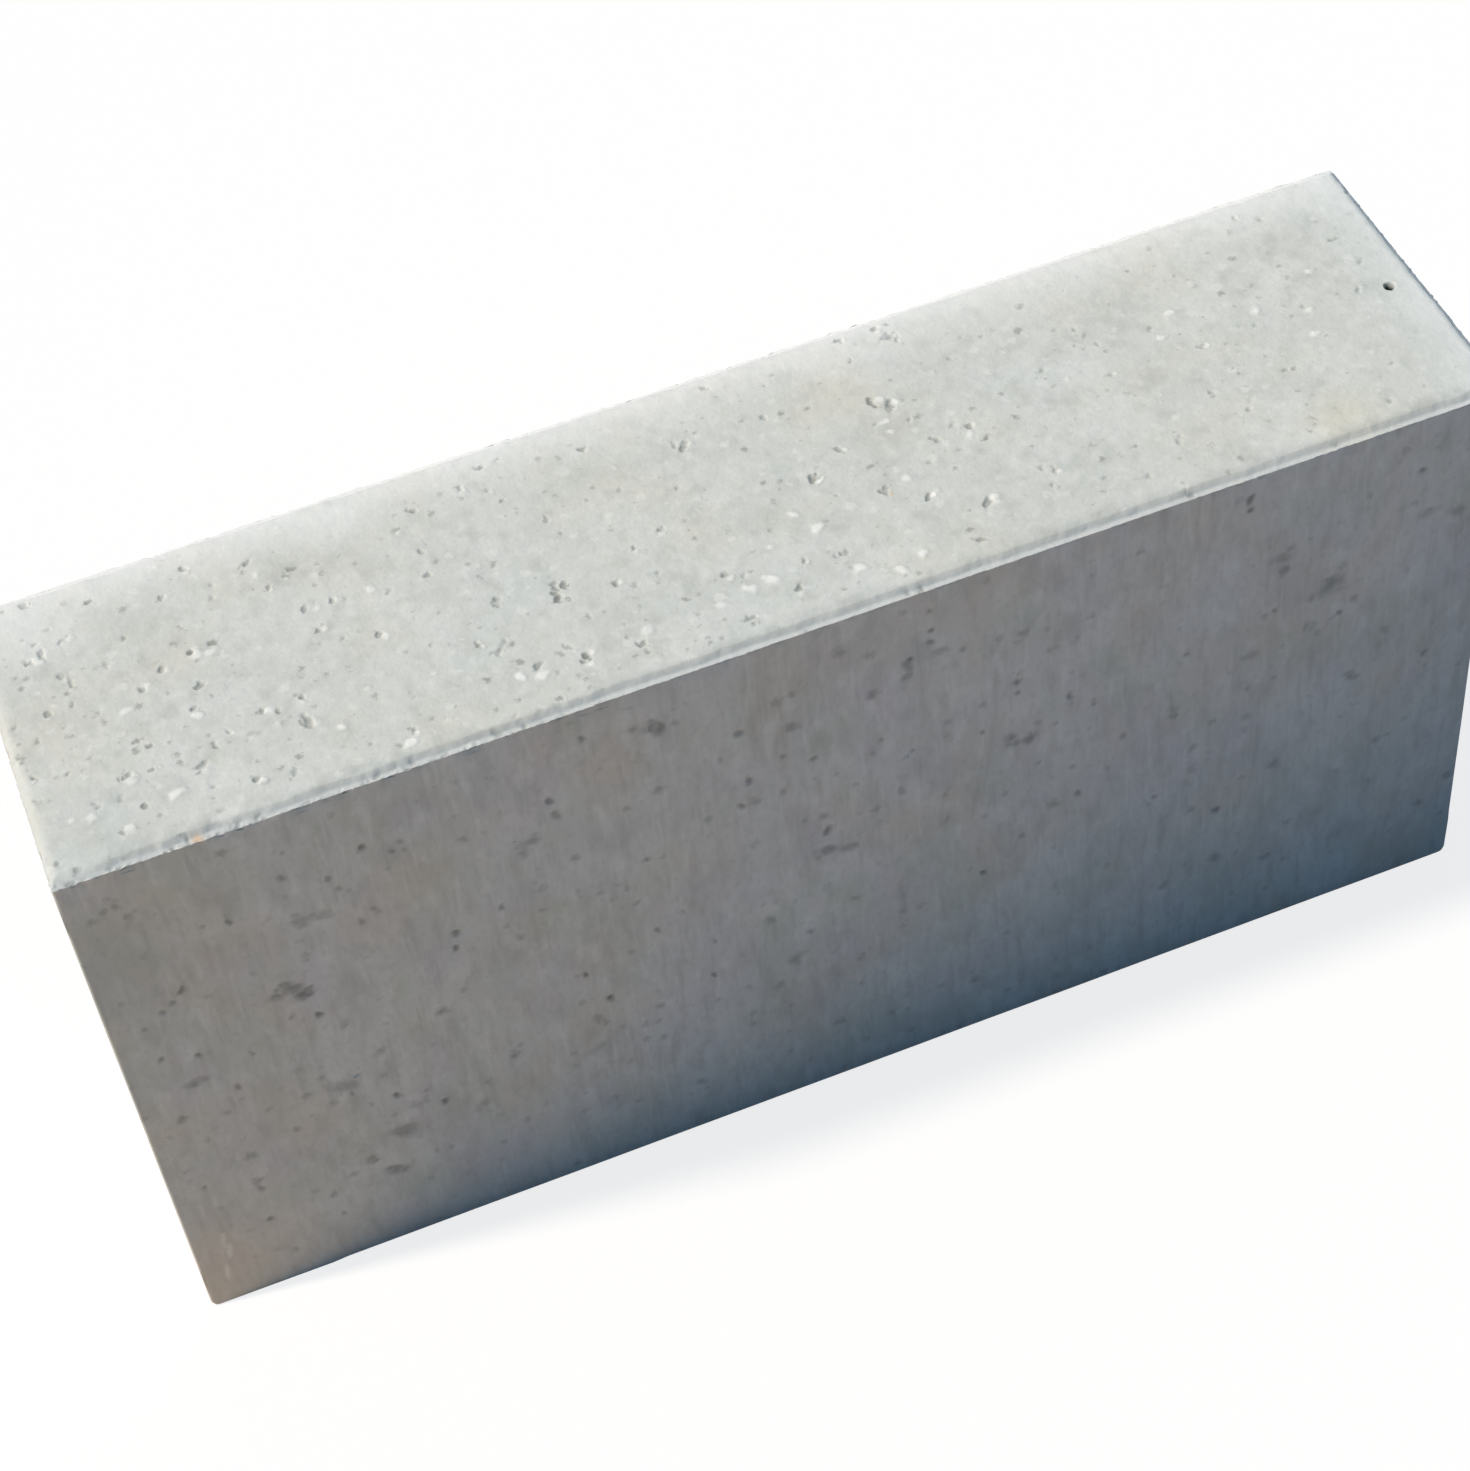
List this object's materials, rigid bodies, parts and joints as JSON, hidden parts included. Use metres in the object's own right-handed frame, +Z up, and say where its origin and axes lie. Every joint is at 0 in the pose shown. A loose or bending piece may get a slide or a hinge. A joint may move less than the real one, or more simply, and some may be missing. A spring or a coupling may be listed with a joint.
{
  "type": "curbstone",
  "caption": "Straight concrete curbstone: an upright block with a pressed rim round its flat top, laid end to end to edge a road or a path.",
  "frame": {"origin": "middle of the base, on the surface that the stone stands on", "axes": "+X along the stone's length, +Y across it towards the pavement, so that -Y is the road face, +Z up"},
  "size_m": [0.6, 0.15, 0.3],
  "materials": {
    "pressed_concrete": "matt pressed concrete, pale grey, with pores, sand grain and drag marks"
  },
  "bodies": {
    "root": {"curbstone": "pressed_concrete"}
  },
  "joints": []
}
